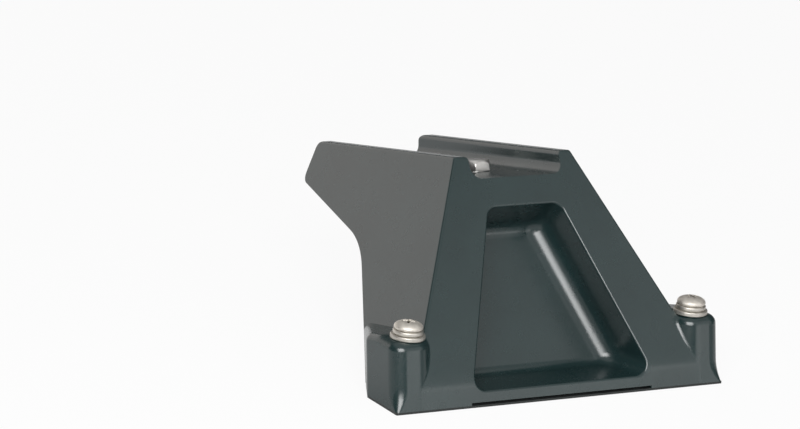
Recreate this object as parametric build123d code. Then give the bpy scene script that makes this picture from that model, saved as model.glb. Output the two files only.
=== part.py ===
from build123d import *
import os
from math import atan, cos, radians, sin, tan

# Driving dimensions, in millimetres and degrees
# The leg is drawn in the bar frame: Y inboard along the bar, Z up, origin between the two washer seats
roof_angle = 12.0
screw_spacing = 115.0
seat_height = 23.0
pad_thickness = 0.8
bar_width = 36.0
bar_corner = 4.0
saddle_length = 93.5
lip_thickness = 5.2
lip_height = 7.6
lip_rise = 57.4
saddle_floor = 6.0
lean_angle = 22.3
arm_angle = 17.6
heel_angle = 49.2
elbow_radius = 37.0
crease_radius = 14.0
crest_radius = 1.0
boss_radius = 6.7
boss_proud = 0.05
end_reach = 8.6
block_depth = 19.5
base_depth = 30.8
ledge_rise = 1.2
rim_radius = 3.0
valley_radius = 2.2
wall = 4.0
base_floor = 5.0
rib_thickness = 3.0
pocket_depth = 17.2
pocket_wall = 3.5
pocket_sill = 4.6
pocket_head = 18.6
pocket_side_radius = 7.0
pocket_corner = 4.5
mouth_radius = 0.8
screw_diameter = 6.0
screw_length = 35.0
head_diameter = 10.0
head_height = 2.9
washer_diameter = 12.0
washer_thickness = 1.6
spring_diameter = 10.5
spring_thickness = 1.6
bar_bolt_length = 20.0
bar_bolt_pitch = 32.0
bar_bolt_setback = 28.0
nut_flats = 10.0

# Named clearances
bar_clearance = 0.4
thread_clearance = 0.04
washer_clearance = 0.2
spring_clearance = 0.1
hole_clearance = 0.3
shank_clearance = 0.3
sleeve_clearance = 0.03
seat_clearance = 0.05
pad_overhang = 0.5

# Sizes that follow from the driving dimensions
screw_radius = screw_diameter / 2
screw_x = screw_spacing / 2
slope = tan(radians(roof_angle))
lean = tan(radians(lean_angle))
channel_half = bar_width / 2 + bar_clearance
top_half = channel_half + lip_thickness
flare = (screw_x - washer_diameter / 2 - seat_clearance - top_half) / lip_rise
saddle_z = lip_rise - lip_height
under_saddle = saddle_z - saddle_floor
boss_front = -boss_radius
face_setback = 0.05 * boss_radius
band_y = boss_front + boss_proud
end_x = screw_x + end_reach
inner_x = screw_x - boss_radius
block_back = boss_front + block_depth
leg_height = seat_height - pad_thickness
washer_top = seat_height + washer_thickness
spring_top = washer_top + spring_thickness
shank_radius = screw_radius - shank_clearance
leg_drop = leg_height / cos(radians(roof_angle))
sleeve_radius = screw_radius + 1.2
bar_frame = Location((0, 0, seat_height), (-roof_angle, 0, 0))


# Half width of the leg at a height in the bar frame
def half_width(z):
    return top_half + flare * (lip_rise - z)


# Front face of the leg at a height in the bar frame, close to the screw axes at their seats
def front_y(z):
    return lean * z - face_setback


# Underside of the leg in the bar frame, parallel to the roof
def base_z(y):
    return slope * y - leg_drop


# Place along the roof of a point that the bar frame gives
def roof_y(y, z):
    return y * cos(radians(roof_angle)) + z * sin(radians(roof_angle))


# Closed outline through a list of points
def outline(points):
    return make_face(Polyline(*points, close=True))


# Corner of a flat outline that lies nearest to a point
def corner(flat, x, y):
    return flat.vertices().sort_by_distance((x, y, 0))[0]


# Side view of the leg: leaning front, upright band at its foot and an arm reaching in under the bar
band_z = (band_y + face_setback) / lean
inboard_y = front_y(lip_rise) + saddle_length
arm_tip_z = under_saddle
arm_slope = tan(radians(arm_angle))
heel_y = boss_front + base_depth
heel_z = base_z(heel_y)
heel_slope = tan(radians(heel_angle))
elbow_y = (arm_tip_z - arm_slope * inboard_y - heel_z + heel_slope * heel_y) / (heel_slope - arm_slope)
elbow_z = heel_z + heel_slope * (elbow_y - heel_y)
below = 10.0
side_view = outline([
    (front_y(lip_rise), lip_rise),
    (band_y, band_z),
    (band_y, base_z(band_y) - below),
    (heel_y - below / heel_slope, heel_z - below),
    (elbow_y, elbow_z),
    (inboard_y, arm_tip_z),
    (inboard_y, lip_rise),
])
side_view = fillet(corner(side_view, band_y, band_z), crease_radius)
side_view = fillet(corner(side_view, elbow_y, elbow_z), elbow_radius)
rib_view = offset(side_view, -wall * 0.8)
side_view = fillet(corner(side_view, inboard_y, arm_tip_z), 4)
side_view = fillet(corner(side_view, inboard_y, lip_rise), 2.5)

# Front view of the leg: a trapezium as wide at its top as the saddle and its two lips
low_z = base_z(band_y) - 2 * below
front_view = outline([
    (-top_half, lip_rise),
    (top_half, lip_rise),
    (half_width(low_z), low_z),
    (-half_width(low_z), low_z),
])
front_view = fillet(front_view.vertices().group_by(Axis.Y)[-1], 1.2)
leg = extrude(Plane.YZ * side_view, half_width(low_z), both=True)
leg &= extrude(Plane.XZ * front_view, 2 * saddle_length, both=True)


# Side edge of the leg's front face
def on_crest(edge):
    spot = edge.center()
    return abs(spot.X) > top_half and abs(spot.Y - front_y(spot.Z)) < 0.2 and edge.length > lip_height


# Slivers that rounding takes off the edges of the front face, down to the end blocks
crest_slivers = leg - fillet(leg.edges().filter_by(on_crest), crest_radius)
above_ledge = Box(4 * saddle_length, 4 * saddle_length, 2 * saddle_length)
crest_slivers &= Pos(0, 0, ledge_rise + saddle_length) * above_ledge


# Leg's back surface at a height below its elbow
def back_y(z):
    return heel_y + (z - heel_z) / heel_slope


# Plan of the block that takes a roof screw at each end of the base, with a wing that sweeps back to the heel
def block_plan(outer_radius):
    root_y = 1.0
    root_x = inner_x - 2.0
    plan = outline([
        (inner_x, boss_front),
        (end_x, boss_front),
        (end_x, block_back),
        (half_width(ledge_rise), back_y(ledge_rise)),
        (root_x, back_y(ledge_rise)),
        (root_x, root_y),
        (inner_x, root_y),
    ])
    plan = fillet(corner(plan, end_x, boss_front), outer_radius)
    plan = fillet(corner(plan, inner_x, boss_front), 0.97 * boss_radius)
    return fillet(corner(plan, end_x, block_back), 3.2)


# End blocks: a round column that spreads to a square foot, with a washer seat and a level ledge on top
ledge_y = ledge_rise / slope
spread_z = base_z(boss_front) + 1.2 * boss_radius
foot_z = base_z(boss_front) - 0.1 * boss_radius
plans = []
for share in (0, 0.25, 0.5, 0.75, 1):
    corner_radius = boss_radius * (0.79 - 0.73 * (1 - share) ** 2)
    plans.append(Pos(0, 0, foot_z + share * (spread_z - foot_z)) * block_plan(corner_radius))
column = extrude(plans[-1], ledge_rise + below - spread_z)
column += loft(plans)
block_side = outline([
    (boss_front - below, slope * (boss_front - below)),
    (ledge_y, ledge_rise),
    (back_y(ledge_rise), ledge_rise),
    (back_y(heel_z - below), heel_z - below),
    (boss_front - below, heel_z - below),
])
block_side = fillet(corner(block_side, ledge_y, ledge_rise), crease_radius)
block = column & extrude(Plane.YZ * block_side, 2 * end_x, both=True)


# Outer edge of the top of an end block
def on_rim(edge):
    spot = edge.center()
    at_top = abs(spot.Z - slope * min(spot.Y, ledge_y)) < 0.35 and spot.X > inner_x
    sweep = (end_x - half_width(ledge_rise)) / (back_y(ledge_rise) - block_back)
    wing_x = end_x - sweep * max(0, spot.Y - block_back)
    return at_top and (spot.Y < boss_front + 0.6 * boss_radius or spot.X > wing_x - 1)


block = fillet(block.edges().filter_by(on_rim), rim_radius)
blocks = block + mirror(block, about=Plane.YZ)
leg += blocks


# Edge in the valley where a boss meets the front of the leg
def in_valley(edge):
    spot = edge.center()
    climbs = abs(edge.tangent_at(0.5).Z) > 0.2
    at_front = abs(spot.Y - max(front_y(spot.Z), band_y)) < boss_proud + 0.1
    return climbs and at_front and inner_x - 1 < abs(spot.X) < screw_x - 1 and spot.Z < -1


leg = fillet(leg.edges().filter_by(in_valley), valley_radius)
leg -= crest_slivers

# Channel that cradles the bar between the lips
channel = outline([
    (-channel_half, saddle_z),
    (channel_half, saddle_z),
    (channel_half, lip_rise),
    (channel_half + 3, lip_rise),
    (channel_half + 3, lip_rise + below),
    (-channel_half - 3, lip_rise + below),
    (-channel_half - 3, lip_rise),
    (-channel_half, lip_rise),
])
channel = fillet(channel.vertices().group_by(Axis.Y)[0], bar_corner)
for side in (-1, 1):
    channel = fillet(corner(channel, side * channel_half, lip_rise), 1.6)
leg -= extrude(Plane.XZ * channel, 2 * saddle_length, both=True)

# Deep tapered pocket in the front face: level sill, drafted sides and head, floor parallel to the face
face = Plane(
    origin=(0, front_y(0), 0),
    x_dir=(1, 0, 0),
    z_dir=(0, -cos(radians(lean_angle)), sin(radians(lean_angle))),
)
face_length = lip_rise / cos(radians(lean_angle))
pocket_top = face_length - pocket_head
pocket_bottom = (base_z(band_y) + pocket_sill) / cos(radians(lean_angle)) - 0.3
pocket_top_half = half_width(pocket_top * cos(radians(lean_angle))) - 17.5
pocket_low_half = half_width(pocket_bottom * cos(radians(lean_angle))) - 24.2
pocket_slope = (pocket_low_half - pocket_top_half) / (pocket_top - pocket_bottom)
head_draft = tan(radians(8.6))
side_draft = tan(radians(0.8))
sill_draft = tan(radians(31.7))


# Corners of the pocket at a depth behind the face, grown all round by a margin
def pocket_corners(depth, margin):
    top = pocket_top - head_draft * depth + margin
    bottom = pocket_bottom + sill_draft * depth - margin
    middle = pocket_top_half - side_draft * depth + margin
    top_half_width = middle + pocket_slope * (pocket_top - top)
    low_half_width = middle + pocket_slope * (pocket_top - bottom)
    points = [
        (-top_half_width, top, -depth),
        (top_half_width, top, -depth),
        (low_half_width, bottom, -depth),
        (-low_half_width, bottom, -depth),
    ]
    return [face.from_local_coords(point) for point in points]


# Block with six flat sides, from the pocket's mouth to a depth
def pocket_block(depth, margin):
    front = pocket_corners(-mouth_margin, margin)
    back = pocket_corners(depth, margin)
    loops = [front, back]
    for here in range(4):
        loops.append([front[here - 1], front[here], back[here], back[here - 1]])
    return Solid(Shell([Face(Wire.make_polygon(loop)) for loop in loops]))


# Edge of the pocket's floor along one of its sides
def on_floor_side(edge):
    spot = face.to_local_coords(edge.center())
    return abs(spot.Z + pocket_depth) < 0.1 and abs(spot.X) > 0.5 * pocket_top_half


# Edge of a pocket block other than those round its mouth
def behind_mouth(edge):
    return face.to_local_coords(edge.center()).Z < mouth_margin - 1


# Edge of the pocket's sill or head, other than the edge at its mouth
def on_end_wall(edge):
    spot = face.to_local_coords(edge.center())
    at_head = spot.Y > pocket_top - head_draft * pocket_depth - 1
    at_sill = spot.Y < pocket_bottom + sill_draft * pocket_depth + 1
    return (at_head or at_sill) and behind_mouth(edge)


mouth_margin = 3.0
pocket = pocket_block(pocket_depth, 0)
pocket = fillet(pocket.edges().filter_by(on_floor_side), pocket_side_radius)
pocket = fillet(pocket.edges().filter_by(on_end_wall), pocket_corner)
skin = pocket_block(pocket_depth + pocket_wall, pocket_wall)
skin = fillet(skin.edges().filter_by(Axis.X, reverse=True).filter_by(behind_mouth), pocket_corner)

# Hollow behind the face, open at the back, with two ribs that carry the saddle down to the base
inside_y = wall / cos(radians(lean_angle))
inside_x = wall / cos(atan(flare))
turn_z = (band_y + wall - inside_y + face_setback) / lean
hollow_side = outline([
    (band_y + wall, low_z),
    (band_y + wall, turn_z),
    (front_y(under_saddle) + inside_y, under_saddle),
    (inboard_y - wall, under_saddle),
    (inboard_y - wall, elbow_z - below),
    (elbow_y + 2 * below, base_z(elbow_y + 2 * below) + base_floor),
    (elbow_y + 2 * below, low_z),
])
hollow_side -= outline([
    (band_y, base_z(band_y) + base_floor),
    (inboard_y, base_z(inboard_y) + base_floor),
    (inboard_y, low_z - below),
    (band_y, low_z - below),
])
hollow_front = outline([
    (-half_width(lip_rise) + inside_x, lip_rise),
    (half_width(lip_rise) - inside_x, lip_rise),
    (half_width(low_z) - inside_x, low_z),
    (-half_width(low_z) + inside_x, low_z),
])
hollow = extrude(Plane.YZ * hollow_side, half_width(low_z), both=True)
hollow &= extrude(Plane.XZ * hollow_front, 2 * saddle_length, both=True)
hollow -= skin
hollow -= blocks
rib_x = 0.36 * bar_width
for side in (-1, 1):
    hollow -= extrude(Plane.YZ.offset(side * rib_x) * rib_view, rib_thickness / 2, both=True)
leg -= hollow
leg -= pocket


# Edge of the pocket's mouth
def on_mouth(edge):
    spot = edge.center()
    up = spot.Z / cos(radians(lean_angle))
    within = abs(spot.X) < pocket_top_half + pocket_slope * (pocket_top - up) + 1
    level = base_z(band_y) + 0.5 * pocket_sill < spot.Z and up < pocket_top + 1
    return within and level and abs(spot.Y - max(front_y(spot.Z), band_y)) < 0.6


leg = fillet(leg.edges().filter_by(on_mouth), mouth_radius)

# Holes in the saddle floor for the bolts that hold the bar
bolt_y = [front_y(saddle_z) + bar_bolt_setback, front_y(saddle_z) + bar_bolt_setback + bar_bolt_pitch]
for y in bolt_y:
    leg -= Pos(0, y, saddle_z) * Cylinder(screw_radius + hole_clearance, 4 * saddle_floor)

# Into the roof frame: flat underside, drainage relief along the front edge and bores for the screw sleeves
leg = bar_frame * leg
leg -= Pos(0, 0, pad_thickness - saddle_length / 2) * Box(4 * saddle_length, 4 * saddle_length, saddle_length)
toe = roof_y(boss_front, base_z(boss_front))
heel = roof_y(heel_y, heel_z)
relief_length = 0.635 * screw_spacing
relief_height = 0.9
relief = Pos(0, toe, pad_thickness) * Box(relief_length, 2 * (boss_proud + 0.6 * wall), 2 * relief_height)
leg -= relief
for side in (-1, 1):
    leg -= Pos(side * screw_x, 0, seat_height / 2) * Cylinder(sleeve_radius + sleeve_clearance, seat_height)

# Thin rubber pad between the base and the roof, a little larger than the base
back = roof_y(block_back, base_z(block_back))
footprint = outline([
    (-end_x, toe),
    (end_x, toe),
    (end_x, back),
    (half_width(heel_z), heel),
    (-half_width(heel_z), heel),
    (-end_x, back),
])
pad = extrude(offset(footprint, pad_overhang), pad_thickness)
for side in (-1, 1):
    pad -= Pos(side * screw_x, 0, 0) * Cylinder(screw_radius + 2 * hole_clearance, 4 * pad_thickness)


# Ring with rounded outer edges, standing on the plane of its own origin
def ring(diameter, thickness, bore, edge_radius):
    disc = Cylinder(diameter / 2, thickness, align=(Align.CENTER, Align.CENTER, Align.MIN))
    disc = fillet(disc.edges().filter_by(GeomType.CIRCLE), edge_radius)
    return disc - Cylinder(bore, 4 * thickness)


# Flat washer, stamped from sheet
def flat_washer(diameter):
    return ring(diameter, washer_thickness, screw_radius + washer_clearance, 0.25 * washer_thickness)


# Split spring washer, its slit cut on the slant
def spring_washer():
    coil = ring(spring_diameter, spring_thickness, screw_radius + spring_clearance, 0.28 * spring_thickness)
    slit = Rot(X=25) * Box(spring_diameter, 0.4 * spring_thickness, 4 * spring_thickness)
    return coil - Pos(spring_diameter / 2, 0, spring_thickness / 2) * slit


# Screw with a flat-topped domed head, a cross recess, a plain shank and a threaded end
def dome_screw():
    thread = Cylinder(screw_radius, screw_length, align=(Align.CENTER, Align.CENTER, Align.MAX))
    thread = chamfer(thread.edges().group_by(Axis.Z)[0], 0.7)
    shank = Cylinder(shank_radius, spring_top, align=(Align.CENTER, Align.CENTER, Align.MAX))
    blank = Cylinder(2 * screw_radius, spring_top, align=(Align.CENTER, Align.CENTER, Align.MAX))
    rim = head_diameter / 2
    rim_height = 0.28 * head_height
    flat = 0.5 * rim
    section = [
        Polyline((0, 0), (0.94 * rim, 0), (rim, 0.1 * head_height), (rim, rim_height)),
        ThreePointArc((rim, rim_height), (0.85 * rim, 0.74 * head_height), (flat, head_height)),
        Polyline((flat, head_height), (0, head_height), (0, 0)),
    ]
    head = revolve(Plane.XZ * make_face(section), Axis.Z)
    wing = 0.5 * head_diameter
    recess = Rot(Z=30) * (Rectangle(wing, 0.2 * wing) + Rectangle(0.2 * wing, wing))
    head -= extrude(Pos(0, 0, head_height) * recess, -0.7 * head_height, taper=8)
    return thread - blank + shank + head


# Hexagon prism with its corners turned off at one end
def hexagon(height):
    prism = extrude(RegularPolygon(nut_flats / 2, 6, major_radius=False), height)
    wide = 0.53 * nut_flats + 0.6 * height
    cone = Cone(wide, 0.47 * nut_flats, height, align=(Align.CENTER, Align.CENTER, Align.MIN))
    return prism & cone


nodes = {"leg_body": leg, "base_pad": pad}

# Screw stack at each end of the base
sleeve_length = seat_height - pad_thickness
for name, side, turn in (("left", -1, 20), ("right", 1, 65)):
    sleeve = Cylinder(sleeve_radius, sleeve_length, align=(Align.CENTER, Align.CENTER, Align.MIN))
    sleeve -= Cylinder(screw_radius + hole_clearance, 4 * sleeve_length)
    nodes["sleeve_" + name] = Pos(side * screw_x, 0, pad_thickness) * sleeve
    nodes["flat_washer_" + name] = Pos(side * screw_x, 0, seat_height) * flat_washer(washer_diameter)
    nodes["spring_washer_" + name] = Pos(side * screw_x, 0, washer_top) * Rot(Z=turn + 60) * spring_washer()
    nodes["roof_screw_" + name] = Pos(side * screw_x, 0, spring_top) * Rot(Z=turn) * dome_screw()

# Bolts that hold the bar: head in the saddle, washers and nut under its floor
nut_height = 5.0
bolt_head = 4.0
for name, y in zip(("outer", "inner"), bolt_y):
    bolt = hexagon(bolt_head)
    shank = Cylinder(screw_radius, bar_bolt_length, align=(Align.CENTER, Align.CENTER, Align.MAX))
    bolt += chamfer(shank.edges().group_by(Axis.Z)[0], 0.7)
    nut = Rot(X=180) * hexagon(nut_height)
    nut -= Cylinder(screw_radius + thread_clearance, 4 * nut_height)
    washer_z = under_saddle - washer_thickness
    spring_z = washer_z - spring_thickness
    nodes["bar_bolt_" + name] = bar_frame * Pos(0, y, saddle_z) * bolt
    nodes["bar_flat_washer_" + name] = bar_frame * Pos(0, y, washer_z) * flat_washer(washer_diameter + 2)
    nodes["bar_spring_washer_" + name] = bar_frame * Pos(0, y, spring_z) * Rot(Z=40) * spring_washer()
    nodes["bar_nut_" + name] = bar_frame * Pos(0, y, spring_z) * nut

os.makedirs("parts", exist_ok=True)
for name, shape in nodes.items():
    export_step(shape, "parts/" + name + ".step")
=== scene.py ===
import math
import bpy
from mathutils import Matrix, Vector


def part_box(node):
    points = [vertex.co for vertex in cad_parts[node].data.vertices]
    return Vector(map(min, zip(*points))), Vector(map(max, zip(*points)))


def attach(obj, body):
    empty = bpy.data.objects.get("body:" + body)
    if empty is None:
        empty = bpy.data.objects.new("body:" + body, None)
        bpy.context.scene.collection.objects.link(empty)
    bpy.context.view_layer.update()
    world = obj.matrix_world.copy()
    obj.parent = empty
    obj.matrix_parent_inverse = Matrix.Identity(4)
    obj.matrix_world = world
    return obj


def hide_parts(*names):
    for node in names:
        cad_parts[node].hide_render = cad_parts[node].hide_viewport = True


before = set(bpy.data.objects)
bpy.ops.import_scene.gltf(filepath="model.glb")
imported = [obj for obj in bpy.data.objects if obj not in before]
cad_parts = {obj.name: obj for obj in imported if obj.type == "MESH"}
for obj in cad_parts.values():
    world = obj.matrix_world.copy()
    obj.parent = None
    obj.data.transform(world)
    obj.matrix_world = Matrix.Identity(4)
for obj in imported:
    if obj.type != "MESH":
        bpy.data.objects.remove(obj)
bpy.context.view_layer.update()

# Rubber pad: a thin sheet of soft black rubber, stamped to the outline of the base. The screws press it
# flush between the foot and the roof, so only its edge shows.
rubber_black = (0.008, 0.010, 0.010, 1)
rubber_dusty = (0.014, 0.017, 0.017, 1)
rubber_roughness = 0.38
rubber_specular = 0.5
dust_size = 0.004
pore_size = 0.0003
pore_depth = 0.00001
noise_low = 0.3
noise_high = 0.7
dent_strength = 0.5
pad_squeeze = 0.0005
pad_hole_zone = 0.006
screw_row = 0.0575


def start_finish(name):
    finish = bpy.data.materials.new(name)
    finish.use_nodes = True
    return finish


def shader_of(finish):
    return finish.node_tree.nodes["Principled BSDF"]


def add_node(finish, kind, **inputs):
    node = finish.node_tree.nodes.new(kind)
    for name, value in inputs.items():
        node.inputs[name.replace("_", " ")].default_value = value
    return node


def join(finish, source, output, target, socket):
    finish.node_tree.links.new(source.outputs[output], target.inputs[socket])


# Soft noise in the piece's own space, with spots of about the given size
def grain(finish, size, detail):
    place = add_node(finish, "ShaderNodeTexCoord")
    noise = add_node(finish, "ShaderNodeTexNoise", Scale=1.0 / size, Detail=detail)
    join(finish, place, "Object", noise, "Vector")
    return noise


def tint(finish, noise, dark, light):
    ramp = add_node(finish, "ShaderNodeValToRGB")
    ramp.color_ramp.elements[0].position = noise_low
    ramp.color_ramp.elements[0].color = dark
    ramp.color_ramp.elements[1].position = noise_high
    ramp.color_ramp.elements[1].color = light
    join(finish, noise, "Fac", ramp, "Fac")
    join(finish, ramp, "Color", shader_of(finish), "Base Color")


def dent(finish, noise, depth):
    bump = add_node(finish, "ShaderNodeBump", Strength=dent_strength, Distance=depth)
    join(finish, noise, "Fac", bump, "Height")
    join(finish, bump, "Normal", shader_of(finish), "Normal")
    return bump


def place_piece(name, mesh, finish, matrix, node):
    mesh.materials.clear()
    mesh.materials.append(finish)
    piece = bpy.data.objects.new(name, mesh)
    piece.matrix_world = matrix
    bpy.context.scene.collection.objects.link(piece)
    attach(piece, "root")
    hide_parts(node)


pad_rubber = start_finish("pad_rubber")
shader_of(pad_rubber).inputs["Roughness"].default_value = rubber_roughness
shader_of(pad_rubber).inputs["Specular IOR Level"].default_value = rubber_specular
tint(pad_rubber, grain(pad_rubber, dust_size, detail=4.0), rubber_black, rubber_dusty)
dent(pad_rubber, grain(pad_rubber, pore_size, detail=2.0), pore_depth)

pad_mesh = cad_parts["base_pad"].data.copy()
pad_low, pad_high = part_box("base_pad")
pad_middle = (pad_low[1] + pad_high[1]) / 2
for point in pad_mesh.vertices:
    if math.hypot(abs(point.co.x) - screw_row, point.co.y) > pad_hole_zone:
        point.co.x -= math.copysign(pad_squeeze, point.co.x)
        point.co.y -= math.copysign(pad_squeeze, point.co.y - pad_middle)
place_piece("pad", pad_mesh, pad_rubber, Matrix.Identity(4), "base_pad")

# Leg: one injection moulding in black glass-filled nylon, with a satin skin of very fine spark grain.
# Its long flanks are even, slow waves in the skin follow the cooling, and the pocket keeps the same skin.
nylon_deep = (0.0070, 0.0180, 0.0185, 1)
nylon_lit = (0.0100, 0.0235, 0.0240, 1)
nylon_smooth = 0.25
nylon_grained = 0.28
nylon_specular = 0.62
flow_size = 0.022
haze_size = 0.005
wave_size = 0.014
wave_depth = 0.00003
spark_size = 0.00035
spark_depth = 0.000006


def vary_gloss(finish, noise, smooth, rough):
    spread = add_node(
        finish, "ShaderNodeMapRange", From_Min=noise_low, From_Max=noise_high, To_Min=smooth, To_Max=rough
    )
    join(finish, noise, "Fac", spread, "Value")
    join(finish, spread, "Result", shader_of(finish), "Roughness")


def dress(node, finish):
    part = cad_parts[node]
    part.data.materials.clear()
    part.data.materials.append(finish)


leg_plastic = start_finish("leg_plastic")
shader_of(leg_plastic).inputs["Specular IOR Level"].default_value = nylon_specular
tint(leg_plastic, grain(leg_plastic, flow_size, detail=3.0), nylon_deep, nylon_lit)
vary_gloss(leg_plastic, grain(leg_plastic, haze_size, detail=4.0), nylon_smooth, nylon_grained)
leg_wave = dent(leg_plastic, grain(leg_plastic, wave_size, detail=1.0), wave_depth)
leg_spark = dent(leg_plastic, grain(leg_plastic, spark_size, detail=2.0), spark_depth)
join(leg_plastic, leg_wave, "Normal", leg_spark, "Normal")
dress("leg_body", leg_plastic)

# Clamping sleeves: short steel tubes pressed into the end blocks, so that the screws clamp metal and not
# plastic. They are cut from drawn tube, with their ends faced on a lathe and their bores plain.
sleeve_grey = (0.36, 0.36, 0.35, 1)
sleeve_bright = (0.48, 0.48, 0.47, 1)
sleeve_smooth = 0.30
sleeve_rough = 0.45
turning_size = 0.0012
turning_detail = 3.0


def bare_steel(name, dull, bright, cloud_size, detail, smooth, rough):
    steel = start_finish(name)
    shader_of(steel).inputs["Metallic"].default_value = 1.0
    clouds = grain(steel, cloud_size, detail)
    tint(steel, clouds, dull, bright)
    vary_gloss(steel, clouds, smooth, rough)
    return steel


sleeve_steel = bare_steel(
    "sleeve_steel", sleeve_grey, sleeve_bright, turning_size, turning_detail, sleeve_smooth, sleeve_rough
)
for side in ("left", "right"):
    dress("sleeve_" + side, sleeve_steel)

# Washers under the roof screws: a flat washer stamped from stainless sheet, its edges rounded by tumbling,
# and on it a split spring washer rolled from stainless wire and cut on the slant.
stainless_low = (0.48, 0.458, 0.415, 1)
stainless_high = (0.60, 0.573, 0.525, 1)
washer_smooth = 0.42
washer_rough = 0.54
washer_clouds = 0.0016
cloud_detail = 4.0
washer_tumbling = 0.0003
tumbling_depth = 0.000008
tumbling_detail = 3.0
split_outer = 0.00525
split_inner = 0.0031
split_height = 0.0016
split_round = 0.0005
split_gap = 0.0008
split_slant = math.radians(25)
split_seat = 0.0246
split_turns = {"left": 110, "right": 155}
split_steps = 120
round_steps = 5
sharp_angle = math.radians(35)


# Mesh over a row of rings, closed by a point at each end, or bent round on itself where there are none
def skin_rings(name, rings, caps):
    spokes = len(rings[0])
    points = [point for ring in rings for point in ring]
    faces = []
    for step in range(len(rings) - 1 if caps else len(rings)):
        here = step * spokes
        there = (step + 1) % len(rings) * spokes
        for spoke in range(spokes):
            after = (spoke + 1) % spokes
            faces.append((here + spoke, there + spoke, there + after, here + after))
    if caps:
        first = len(points)
        last = first - spokes
        points += caps
        for spoke in range(spokes):
            after = (spoke + 1) % spokes
            faces.append((first, spoke, after))
            faces.append((first + 1, last + after, last + spoke))
    mesh = bpy.data.meshes.new(name)
    mesh.from_pydata(points, [], faces)
    mesh.shade_smooth()
    mesh.set_sharp_from_angle(angle=sharp_angle)
    return mesh


# Section of the washer's wire: a rectangle with rounded corners, as distance from the axis and height
def split_section():
    outer, inner = split_outer - split_round, split_inner + split_round
    corners = ((outer, split_round), (outer, split_height - split_round))
    corners += ((inner, split_height - split_round), (inner, split_round))
    section = []
    for quarter, (reach, height) in enumerate(corners):
        for step in range(round_steps + 1):
            turn = math.pi / 2 * (quarter - 1 + step / round_steps)
            section.append((reach + split_round * math.cos(turn), height + split_round * math.sin(turn)))
    return section


# Split washer: the section swept once round, from one face of the slanted cut to the other
def split_washer(name):
    half_gap = split_gap / (split_outer + split_inner)
    rings = []
    for step in range(split_steps + 1):
        along = half_gap + (2 * math.pi - 2 * half_gap) * step / split_steps
        ring = []
        for reach, height in split_section():
            turn = along + math.tan(split_slant) * (height - split_height / 2) / reach
            ring.append((reach * math.cos(turn), reach * math.sin(turn), height))
        rings.append(ring)
    caps = []
    for ring in (rings[0], rings[-1]):
        middle = sum((Vector(point) for point in ring), Vector()) / len(ring)
        caps.append(tuple(middle))
    return skin_rings(name, rings, caps)


washer_steel = bare_steel(
    "washer_steel", stainless_low, stainless_high, washer_clouds, cloud_detail, washer_smooth, washer_rough
)
dent(washer_steel, grain(washer_steel, washer_tumbling, tumbling_detail), tumbling_depth)
for side, row in (("left", -screw_row), ("right", screw_row)):
    dress("flat_washer_" + side, washer_steel)
    turn = Matrix.Rotation(math.radians(split_turns[side]), 4, "Z")
    on_washer = Matrix.Translation((row, 0, split_seat)) @ turn
    split_node = "spring_washer_" + side
    split_mesh = split_washer(split_node)
    place_piece("split_washer_" + side, split_mesh, washer_steel, on_washer, split_node)

# Roof screws: cold-headed stainless screws with a domed head and a punched cross recess, whose depths are
# darkened by painted shade. The shank under the head is plain and thinner, and a rolled 6 mm thread ends in
# a chamfer.
polished_low = (0.60, 0.565, 0.51, 1)
polished_high = (0.72, 0.685, 0.63, 1)
screw_smooth = 0.52
screw_rough = 0.64
screw_clouds = 0.0018
screw_tumbling = 0.0004
recess_painted_shade = (0.10, 0.085, 0.06, 1)
shade_spread = 2.0
head_radius = 0.0050
head_rise = 0.0029
dome_power = 2.1
waist_rise = 0.0008
foot_radius = 0.0042
recess_zone = 0.0029
wing_reach = 0.0021
wing_half = 0.00034
recess_depth = 0.0017
recess_rise = 0.35
recess_round = 0.00016
plain_radius = 0.0027
plain_length = 0.0262
screw_reach = 0.0350
thread_radius = 0.0030
thread_depth = 0.00061
thread_pitch = 0.0010
thread_lead = 0.0002
thread_flank = 2.7
thread_root = 0.17
end_chamfer = 0.0007
head_seat = 0.0262
screw_turns = {"left": 50, "right": 95}
head_spokes = 160
crown_steps = 44
dome_steps = 18
foot_steps = 8
rings_per_turn = 10


def circle(radius, height, spokes):
    ring = []
    for spoke in range(spokes):
        turn = 2 * math.pi * spoke / spokes
        ring.append((radius * math.cos(turn), radius * math.sin(turn), height))
    return ring


# Smooth step from 0 to 1
def ease(share):
    share = min(1.0, max(0.0, share))
    return share * share * (3 - 2 * share)


# Depth of the cross recess below the head at a place on it
def punched(x, y):
    floor = recess_depth - recess_rise * math.hypot(x, y)
    wings = []
    for along, across in ((abs(x), abs(y)), (abs(y), abs(x))):
        inside = ease(0.5 + (wing_half - across) / recess_round)
        wings.append(inside * ease(0.5 + (wing_reach - along) / recess_round))
    return floor * max(wings)


# Height of the head at a distance from its axis
def dome(radius):
    share = min(1.0, radius / head_radius)
    return waist_rise + (head_rise - waist_rise) * (1 - share ** dome_power) ** (1 / dome_power)


# Rings of a thread that runs down from a height, out of a plain core and into a chamfered end
def rolled_thread(start, length, spokes):
    rings = []
    count = round(length / thread_pitch * rings_per_turn)
    for step in range(count + 1):
        height = start - length * step / count
        run_in = ease((start - height) / thread_pitch)
        tip = height - (start - length)
        ring = []
        for spoke in range(spokes):
            turn = 2 * math.pi * spoke / spokes
            phase = (height / thread_pitch + spoke / spokes) % 1.0
            crest = min(1.0, max(0.0, thread_flank * abs(phase - 0.5) - thread_root))
            reach = thread_radius - thread_depth * (1 - run_in + run_in * (1 - crest))
            reach = min(reach, thread_radius - end_chamfer + tip)
            ring.append((reach * math.cos(turn), reach * math.sin(turn), height))
        rings.append(ring)
    return rings


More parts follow.
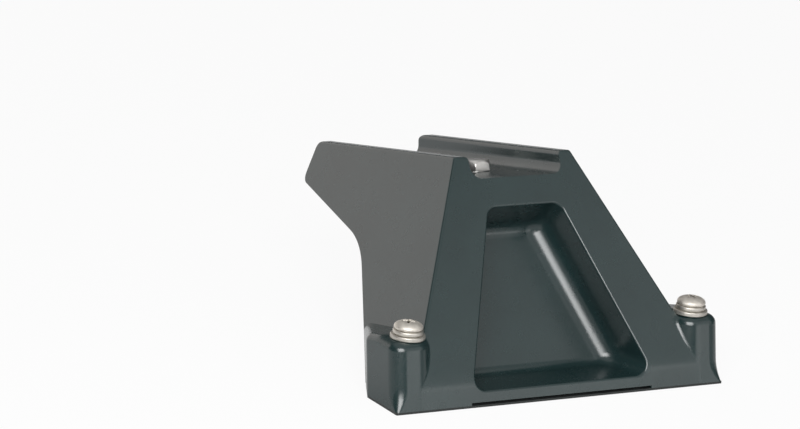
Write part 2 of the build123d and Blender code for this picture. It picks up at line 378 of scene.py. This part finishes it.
# Rings of a roof screw from the middle of its recess, over the head and down the shank to its end
def screw_rings():
    rings = []
    for step in range(1, crown_steps + 1):
        radius = recess_zone * step / crown_steps
        crown = circle(radius, dome(radius), head_spokes)
        rings.append([(x, y, top - punched(x, y)) for x, y, top in crown])
    for step in range(1, dome_steps + 1):
        lean = math.pi / 2 * step / dome_steps
        radius = recess_zone + (head_radius - recess_zone) * math.sin(lean)
        rings.append(circle(radius, dome(radius), head_spokes))
    for step in range(1, foot_steps + 1):
        lean = math.pi / 2 * step / foot_steps
        radius = foot_radius + (head_radius - foot_radius) * math.cos(lean)
        rings.append(circle(radius, waist_rise * (1 - math.sin(lean)), head_spokes))
    rings.append(circle(plain_radius, 0, head_spokes))
    rings.append(circle(plain_radius, thread_lead - plain_length, head_spokes))
    return rings + rolled_thread(-plain_length, screw_reach - plain_length, head_spokes)


screw_steel = bare_steel(
    "screw_steel", polished_low, polished_high, screw_clouds, cloud_detail, screw_smooth, screw_rough
)
dent(screw_steel, grain(screw_steel, screw_tumbling, tumbling_detail), tumbling_depth)
screw_colour = shader_of(screw_steel).inputs["Base Color"]
screw_tint = screw_colour.links[0].from_node
# Painted shade: the base colour is mixed towards a dark brown where the cross recess is deep, standing in
# for its shade
recess_shade_share = add_node(screw_steel, "ShaderNodeAttribute")
recess_shade_share.attribute_name = "recess"
recess_shade_mix = add_node(screw_steel, "ShaderNodeMixRGB", Color2=recess_painted_shade)
join(screw_steel, recess_shade_share, "Fac", recess_shade_mix, "Fac")
join(screw_steel, screw_tint, "Color", recess_shade_mix, "Color1")
join(screw_steel, recess_shade_mix, "Color", shader_of(screw_steel), "Base Color")
for side, row in (("left", -screw_row), ("right", screw_row)):
    screw_node = "roof_screw_" + side
    screw_ends = [(0, 0, head_rise - recess_depth), (0, 0, -screw_reach)]
    screw_mesh = skin_rings(screw_node, screw_rings(), screw_ends)
    # Painted shade mask: how deep the recess is at each point of the head, eased and capped at 1
    recess_shade_mask = screw_mesh.attributes.new("recess", "FLOAT", "POINT")
    for point in screw_mesh.vertices:
        sunk = punched(point.co.x, point.co.y) / recess_depth if point.co.z > 0 else 0.0
        recess_shade_mask.data[point.index].value = ease(shade_spread * sunk)
    turn = Matrix.Rotation(math.radians(screw_turns[side]), 4, "Z")
    on_split = Matrix.Translation((row, 0, head_seat)) @ turn
    place_piece("screw_" + side, screw_mesh, screw_steel, on_split, screw_node)

# Saddle bolts: plain stainless hexagon bolts with rolled threads, set down through the saddle floor.
# Under it each has a stamped washer, a split spring washer and a nut chamfered on both sides.
bolt_low = (0.46, 0.45, 0.43, 1)
bolt_high = (0.60, 0.59, 0.57, 1)
bolt_smooth = 0.28
bolt_rough = 0.42
bolt_clouds = 0.002
bolt_tumbling = 0.0004
bolt_tumbling_depth = 0.000015
half_flats = 0.0050
hex_head = 0.0040
hex_face = 0.00025
hex_spokes = 96
face_circle = 0.0047
face_core_share = 0.3
corner_fall = 1.33
corner_inset = 0.00006
corner_drop = 0.00008
seat_break = 0.0001
bolt_reach = 0.0200
nut_thickness = 0.0050
nut_bore = 0.00304
bore_countersink = 0.00035
seat_height = 0.0230
roof_tilt = math.radians(12.0)
saddle_level = 0.0498
nut_level = 0.0406
bolt_row = {"outer": 0.04809, "inner": 0.08009}
bolt_split_turn = math.radians(40)

# From the saddle's frame to the roof's
to_roof = Matrix.Translation((0, 0, seat_height)) @ Matrix.Rotation(-roof_tilt, 4, "X")


# Hexagon at a height, its corners turned off downwards by a chamfer of 1, upwards by -1 and not by 0
def hex_ring(height, inset, chamfer):
    ring = []
    for spoke in range(hex_spokes):
        turn = 2 * math.pi * spoke / hex_spokes
        reach = half_flats / math.cos(turn % (math.pi / 3) - math.pi / 6) - inset
        fall = corner_fall * max(0.0, reach - face_circle) * chamfer
        ring.append((reach * math.cos(turn), reach * math.sin(turn), height - fall))
    return ring


# Rings of a bolt from the top of its head, over the washer face and down the thread
def bolt_rings():
    rings = [circle(face_core_share * face_circle, hex_head, hex_spokes)]
    rings.append(circle(face_circle, hex_head, hex_spokes))
    rings.append(hex_ring(hex_head, corner_inset, 1))
    rings.append(hex_ring(hex_head - corner_drop, 0, 1))
    rings.append(hex_ring(hex_face + seat_break, 0, 0))
    rings.append(hex_ring(hex_face, seat_break, 0))
    rings.append(circle(face_circle, hex_face, hex_spokes))
    rings.append(circle(face_circle, 0, hex_spokes))
    rings.append(circle(thread_radius - thread_depth, 0, hex_spokes))
    return rings + rolled_thread(-thread_lead, bolt_reach - thread_lead, hex_spokes)


# Rings of a nut from its bore, round the outside and back to the bore
def nut_rings():
    mouth = nut_bore + bore_countersink
    rings = [circle(nut_bore, -bore_countersink, hex_spokes)]
    rings.append(circle(mouth, 0, hex_spokes))
    rings.append(circle(face_circle, 0, hex_spokes))
    rings.append(hex_ring(0, corner_inset, 1))
    rings.append(hex_ring(-corner_drop, 0, 1))
    rings.append(hex_ring(corner_drop - nut_thickness, 0, -1))
    rings.append(hex_ring(-nut_thickness, corner_inset, -1))
    rings.append(circle(face_circle, -nut_thickness, hex_spokes))
    rings.append(circle(mouth, -nut_thickness, hex_spokes))
    rings.append(circle(nut_bore, bore_countersink - nut_thickness, hex_spokes))
    return rings


bolt_steel = bare_steel(
    "bolt_steel", bolt_low, bolt_high, bolt_clouds, cloud_detail, bolt_smooth, bolt_rough
)
dent(bolt_steel, grain(bolt_steel, bolt_tumbling, tumbling_detail), bolt_tumbling_depth)
for place, row in bolt_row.items():
    dress("bar_flat_washer_" + place, bolt_steel)
    on_nut = to_roof @ Matrix.Translation((0, row, nut_level))
    turned = on_nut @ Matrix.Rotation(bolt_split_turn, 4, "Z")
    split_node = "bar_spring_washer_" + place
    split_mesh = split_washer(split_node)
    place_piece("bar_split_washer_" + place, split_mesh, bolt_steel, turned, split_node)
    bolt_node = "bar_bolt_" + place
    bolt_mesh = skin_rings(bolt_node, bolt_rings(), [(0, 0, hex_head), (0, 0, -bolt_reach)])
    on_saddle = to_roof @ Matrix.Translation((0, row, saddle_level))
    place_piece("bolt_" + place, bolt_mesh, bolt_steel, on_saddle, bolt_node)
    nut_node = "bar_nut_" + place
    nut_mesh = skin_rings(nut_node, nut_rings(), None)
    place_piece("nut_" + place, nut_mesh, bolt_steel, on_nut, nut_node)

# Studio: a plain white table that runs out of sight under a pale ceiling, with a softbox above the camera, a
# pale board and a low lit board at the right, and a cream wall behind at the left. Polished pieces mirror a
# table that glows by itself in their reflections only, bright behind the foot and dim in front of it: a
# painted reflection.
floor_reach = 6.0
floor_white = 0.70
floor_roughness = 0.9
floor_glow = 0.92
front_glow = 0.15
back_glow = 0.90
glow_start = 0.0
glow_end = 0.04
wall_light = 0.03
mirrored_wall = 0.05
wall_top = 0.62
ceiling_light = 0.70
ceiling_edge = 0.90
white = (1, 1, 1)
cream = (1.0, 0.94, 0.91)

floor_mesh = bpy.data.meshes.new("floor")
floor_mesh.from_pydata(
    [(x * floor_reach, y * floor_reach, 0) for x, y in ((-1, -1), (1, -1), (1, 1), (-1, 1))],
    [],
    [(0, 1, 2, 3)],
)
floor = bpy.data.objects.new("floor", floor_mesh)
bpy.context.scene.collection.objects.link(floor)


# Sum or product of one node's output and another's, or a plain factor where no other output is named
def add_step(finish, operation, first, output, second, other):
    step = add_node(finish, "ShaderNodeMath")
    step.operation = operation
    step.use_clamp = True
    join(finish, first, output, step, 0)
    if other:
        join(finish, second, other, step, 1)
    else:
        step.inputs[1].default_value = second
    return step


def seen_or_mirrored(finish):
    path = add_node(finish, "ShaderNodeLightPath")
    mirrored = add_step(finish, "ADD", path, "Is Glossy Ray", path, "Is Transmission Ray")
    return path, mirrored


table_white = start_finish("table_white")
table_shader = shader_of(table_white)
table_shader.inputs["Base Color"].default_value = (floor_white, floor_white, floor_white, 1)
table_shader.inputs["Roughness"].default_value = floor_roughness
table_shader.inputs["Specular IOR Level"].default_value = 0.0
table_path, table_mirrored = seen_or_mirrored(table_white)
table_seen = add_step(table_white, "MULTIPLY", table_path, "Is Camera Ray", floor_glow, None)
table_place = add_node(table_white, "ShaderNodeTexCoord")
table_axes = add_node(table_white, "ShaderNodeSeparateXYZ")
join(table_white, table_place, "Object", table_axes, "Vector")
# Painted reflection: the table glows by itself for mirrored rays, dim in front of the foot and bright behind
# it
table_level = add_node(
    table_white,
    "ShaderNodeMapRange",
    From_Min=glow_start,
    From_Max=glow_end,
    To_Min=front_glow,
    To_Max=back_glow,
)
join(table_white, table_axes, "Y", table_level, "Value")
table_painted_reflection = add_step(table_white, "MULTIPLY", table_mirrored, "Value", table_level, "Result")
table_share = add_step(table_white, "ADD", table_seen, "Value", table_painted_reflection, "Value")
table_glow = add_node(table_white, "ShaderNodeEmission", Color=(*white, 1))
table_mix = add_node(table_white, "ShaderNodeMixShader")
join(table_white, table_share, "Value", table_mix, "Fac")
join(table_white, table_shader, "BSDF", table_mix, 1)
join(table_white, table_glow, "Emission", table_mix, 2)
join(table_white, table_mix, "Shader", table_white.node_tree.nodes["Material Output"], "Surface")
floor_mesh.materials.append(table_white)


# Lit panel that faces the foot from an azimuth and elevation in degrees
def light_panel(name, azimuth, elevation, roll, distance, width, height, radiance, colour):
    turn, rise = math.radians(azimuth), math.radians(elevation)
    place = Vector((math.cos(turn) * math.cos(rise), math.sin(turn) * math.cos(rise), math.sin(rise)))
    lamp = bpy.data.lights.new(name, "AREA")
    lamp.shape = "RECTANGLE"
    lamp.size = width
    lamp.size_y = height
    lamp.energy = math.pi * radiance * width * height
    lamp.color = colour
    panel = bpy.data.objects.new(name, lamp)
    facing = place.to_track_quat("Z", "Y").to_matrix().to_4x4()
    rolled = facing @ Matrix.Rotation(math.radians(roll), 4, "Z")
    panel.matrix_world = Matrix.Translation(place * distance) @ rolled
    panel.visible_camera = False
    bpy.context.scene.collection.objects.link(panel)


light_panel(
    "softbox", azimuth=233, elevation=31, roll=10, distance=1.2,
    width=0.84, height=0.60, radiance=11.0, colour=white,
)
light_panel(
    "right_board", azimuth=303, elevation=28, roll=0, distance=1.2,
    width=1.25, height=0.80, radiance=0.95, colour=white,
)
light_panel(
    "low_board", azimuth=293, elevation=5, roll=0, distance=1.2,
    width=0.80, height=0.30, radiance=2.1, colour=white,
)
light_panel(
    "back_wall", azimuth=108, elevation=14, roll=0, distance=1.5,
    width=1.6, height=0.8, radiance=1.18, colour=cream,
)

room = bpy.data.worlds.new("room")
bpy.context.scene.world = room
room.use_nodes = True
walls = room.node_tree.nodes["Background"]
walls.inputs["Color"].default_value = (*white, 1)
room_place = add_node(room, "ShaderNodeTexCoord")
room_axes = add_node(room, "ShaderNodeSeparateXYZ")
join(room, room_place, "Generated", room_axes, "Vector")
room_level = add_node(
    room,
    "ShaderNodeMapRange",
    From_Min=wall_top,
    From_Max=ceiling_edge,
    To_Min=wall_light,
    To_Max=ceiling_light,
)
room_level.interpolation_type = "SMOOTHSTEP"
join(room, room_axes, "Z", room_level, "Value")
room_path, room_mirrored = seen_or_mirrored(room)
room_shine = add_step(room, "MULTIPLY", room_mirrored, "Value", mirrored_wall, None)
room_share = add_step(room, "ADD", room_path, "Is Camera Ray", room_shine, "Value")
seen_level = add_node(room, "ShaderNodeMix")
seen_level.inputs["B"].default_value = 1.0
join(room, room_share, "Value", seen_level, "Factor")
join(room, room_level, "Result", seen_level, "A")
join(room, seen_level, "Result", walls, "Strength")

# Camera: a long lens a step and a half away, turned about 31 degrees off the front of the foot and a little
# above the saddle. It is placed in the saddle's frame, which leans 12 degrees against the roof.
photo_width = 800
photo_focal = 4546.5
sensor_width = 36.0
sight_limit = 20.0
view_yaw = math.radians(30.85)
view_pitch = math.radians(5.48)
view_roll = math.radians(-0.93)
aim_right = 0.0518
aim_up = -0.0370
aim_distance = 1.5554
washer_middle = 0.0008

forward = Vector((
    math.sin(view_yaw) * math.cos(view_pitch),
    math.cos(view_yaw) * math.cos(view_pitch),
    -math.sin(view_pitch),
))
level_right = Vector((math.cos(view_yaw), -math.sin(view_yaw), 0))
level_up = level_right.cross(forward)
right = level_right * math.cos(view_roll) + level_up * math.sin(view_roll)
up = level_up * math.cos(view_roll) - level_right * math.sin(view_roll)
eye = -(right * aim_right + up * aim_up + forward * aim_distance) + Vector((0, 0, washer_middle))
axes = Matrix((right, up, -forward)).transposed().to_4x4()
lens = bpy.data.cameras.new("camera")
lens.sensor_width = sensor_width
lens.lens = photo_focal * sensor_width / photo_width
lens.clip_end = sight_limit
camera = bpy.data.objects.new("camera", lens)
camera.matrix_world = to_roof @ Matrix.Translation(eye) @ axes
bpy.context.scene.collection.objects.link(camera)
bpy.context.scene.camera = camera
bpy.context.scene.view_settings.view_transform = "Standard"
